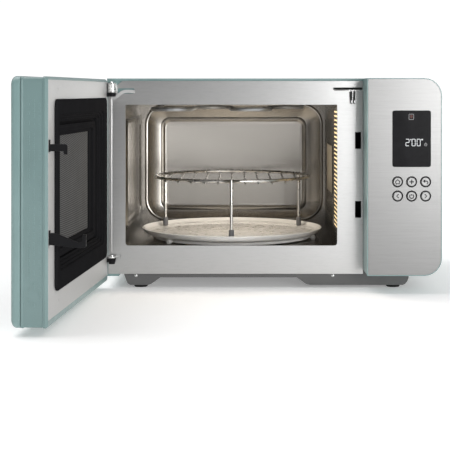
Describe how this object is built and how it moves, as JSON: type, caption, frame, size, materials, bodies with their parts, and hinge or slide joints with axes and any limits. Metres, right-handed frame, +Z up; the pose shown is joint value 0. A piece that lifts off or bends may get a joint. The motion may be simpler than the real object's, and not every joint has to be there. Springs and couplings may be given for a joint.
{
  "type": "microwave oven",
  "caption": "Counter-top microwave and grill oven with a side-hinged door, glass turntable, wire rack and a display with round push buttons.",
  "frame": {"origin": "on the floor under the middle of the oven's box with the door open", "axes": "+Z up; +X to the right seen from the front; +Y from the front to the back, along the open door"},
  "size_m": [0.5644, 0.7234, 0.3114],
  "materials": {
    "teal_paint": "satin",
    "teal_plastic": "satin",
    "satin_steel": "brushed",
    "oven_steel": "brushed",
    "zinc_steel": "matt zinc",
    "chrome": "polished",
    "black_plastic": "fine grained",
    "white_plastic": "matt",
    "red_plastic": "matt",
    "board_green": "satin",
    "black_glass": "polished",
    "oven_glass": "polished",
    "lamp_glass": "polished",
    "rubber": "matt",
    "silicone": "matt",
    "mica": "matt",
    "anode": "satin",
    "aluminium": "satin"
  },
  "bodies": {
    "cabinet": {"outer_cover": "teal_paint", "base_pan": "zinc_steel", "rear_panel": "zinc_steel", "cord_gland": "black_plastic", "foot_front_left": "rubber", "foot_front_right": "rubber", "foot_rear_left": "rubber", "foot_rear_right": "rubber", "base_screw_left": "chrome", "base_screw_right": "chrome", "front_fascia": "satin_steel", "oven_cavity": "oven_steel", "waveguide_cover": "mica", "grill_heater": "zinc_steel", "cavity_lamp": "lamp_glass", "magnetron": "anode", "waveguide": "zinc_steel", "transformer": "zinc_steel", "capacitor": "aluminium", "mains_filter": "board_green", "fan_motor": "zinc_steel", "latch_housing": "black_plastic", "interlock_switch": "red_plastic", "control_housing": "teal_plastic", "control_fascia": "satin_steel", "display_window": "black_glass", "button_carrier": "black_plastic", "control_board": "board_green", "turntable_motor": "zinc_steel", "hinge_bracket_upper": "chrome", "hinge_bracket_lower": "chrome"},
    "door": {"door_frame": "teal_paint", "door_bezel": "teal_plastic", "door_glass": "black_glass", "door_inner_panel": "satin_steel", "choke_cover": "black_plastic", "mesh_screen": "zinc_steel", "hinge_bush_upper": "black_plastic", "hinge_bush_lower": "black_plastic"},
    "latch_upper": {"latch_hook_upper": "black_plastic", "latch_spring_upper": "chrome"},
    "latch_lower": {"latch_hook_lower": "black_plastic", "latch_spring_lower": "chrome"},
    "turntable_drive": {"drive_coupler": "white_plastic"},
    "turntable": {"turntable_plate": "oven_glass"},
    "rack": {"wire_rack": "chrome", "rack_foot_1": "silicone", "rack_foot_2": "silicone", "rack_foot_3": "silicone"},
    "roller_support": {"roller_ring": "white_plastic"},
    "cooling_fan": {"fan_blade": "black_plastic"},
    "button_1_key": {"button_1": "chrome"},
    "button_2_key": {"button_2": "chrome"},
    "button_3_key": {"button_3": "chrome"},
    "button_4_key": {"button_4": "chrome"},
    "button_5_key": {"button_5": "chrome"},
    "button_6_key": {"button_6": "chrome"},
    "roller_1_wheel": {"roller_1": "white_plastic"},
    "roller_2_wheel": {"roller_2": "white_plastic"},
    "roller_3_wheel": {"roller_3": "white_plastic"}
  },
  "joints": [
    {"name": "door_hinge", "type": "hinge", "parent": "cabinet", "child": "door", "pos_m": [-0.19882, 0.00736, 0.16], "axis": [0, 0, -1], "range_deg": [-94.8, 10.2]},
    {"name": "latch_upper_slide", "type": "slide", "parent": "door", "child": "latch_upper", "axis": [0, 0, 1], "range_m": [0, 0.002], "stiffness_N_per_m": 300, "springref_m": -0.004, "deforming": ["latch_spring_upper"]},
    {"name": "latch_lower_slide", "type": "slide", "parent": "door", "child": "latch_lower", "axis": [0, 0, -1], "range_m": [0, 0.002], "stiffness_N_per_m": 300, "springref_m": -0.004, "deforming": ["latch_spring_lower"]},
    {"name": "turntable_spin", "type": "hinge", "parent": "cabinet", "child": "turntable_drive", "pos_m": [-0.02172, 0.15936, 0.062], "axis": [0, 0, 1], "continuous": true},
    {"name": "turntable_lift", "type": "slide", "parent": "turntable_drive", "child": "turntable", "axis": [0, 0, 1], "range_m": [0, 0.02]},
    {"name": "rack_lift", "type": "slide", "parent": "turntable", "child": "rack", "axis": [0, 0, 1], "range_m": [0, 0.06]},
    {"name": "roller_ring_spin", "type": "hinge", "parent": "cabinet", "child": "roller_support", "pos_m": [-0.02172, 0.15936, 0.062], "axis": [0, 0, 1], "continuous": true},
    {"name": "fan_spin", "type": "hinge", "parent": "cabinet", "child": "cooling_fan", "pos_m": [0.21368, 0.33236, 0.215], "axis": [0, 1, 0], "continuous": true},
    {"name": "button_1_press", "type": "slide", "parent": "cabinet", "child": "button_1_key", "axis": [0, 1, 0], "range_m": [0, 0.0008], "stiffness_N_per_m": 400},
    {"name": "button_2_press", "type": "slide", "parent": "cabinet", "child": "button_2_key", "axis": [0, 1, 0], "range_m": [0, 0.0008], "stiffness_N_per_m": 400},
    {"name": "button_3_press", "type": "slide", "parent": "cabinet", "child": "button_3_key", "axis": [0, 1, 0], "range_m": [0, 0.0008], "stiffness_N_per_m": 400},
    {"name": "button_4_press", "type": "slide", "parent": "cabinet", "child": "button_4_key", "axis": [0, 1, 0], "range_m": [0, 0.0008], "stiffness_N_per_m": 400},
    {"name": "button_5_press", "type": "slide", "parent": "cabinet", "child": "button_5_key", "axis": [0, 1, 0], "range_m": [0, 0.0008], "stiffness_N_per_m": 400},
    {"name": "button_6_press", "type": "slide", "parent": "cabinet", "child": "button_6_key", "axis": [0, 1, 0], "range_m": [0, 0.0008], "stiffness_N_per_m": 400},
    {"name": "roller_1_spin", "type": "hinge", "parent": "roller_support", "child": "roller_1_wheel", "pos_m": [-0.11739, 0.06697, 0.062], "axis": [-0.7193, -0.6947, 0], "continuous": true},
    {"name": "roller_2_spin", "type": "hinge", "parent": "roller_support", "child": "roller_2_wheel", "pos_m": [0.10613, 0.1227, 0.062], "axis": [0.9613, -0.2756, 0], "continuous": true},
    {"name": "roller_3_spin", "type": "hinge", "parent": "roller_support", "child": "roller_3_wheel", "pos_m": [-0.0539, 0.28841, 0.062], "axis": [-0.2419, 0.9703, 0], "continuous": true}
  ],
  "couplings": [
    {"joint": "roller_ring_spin", "follows": "turntable_spin", "ratio": 0.5},
    {"joint": "roller_1_spin", "follows": "turntable_spin", "ratio": -17.273},
    {"joint": "roller_2_spin", "follows": "turntable_spin", "ratio": -17.273},
    {"joint": "roller_3_spin", "follows": "turntable_spin", "ratio": -17.273}
  ]
}
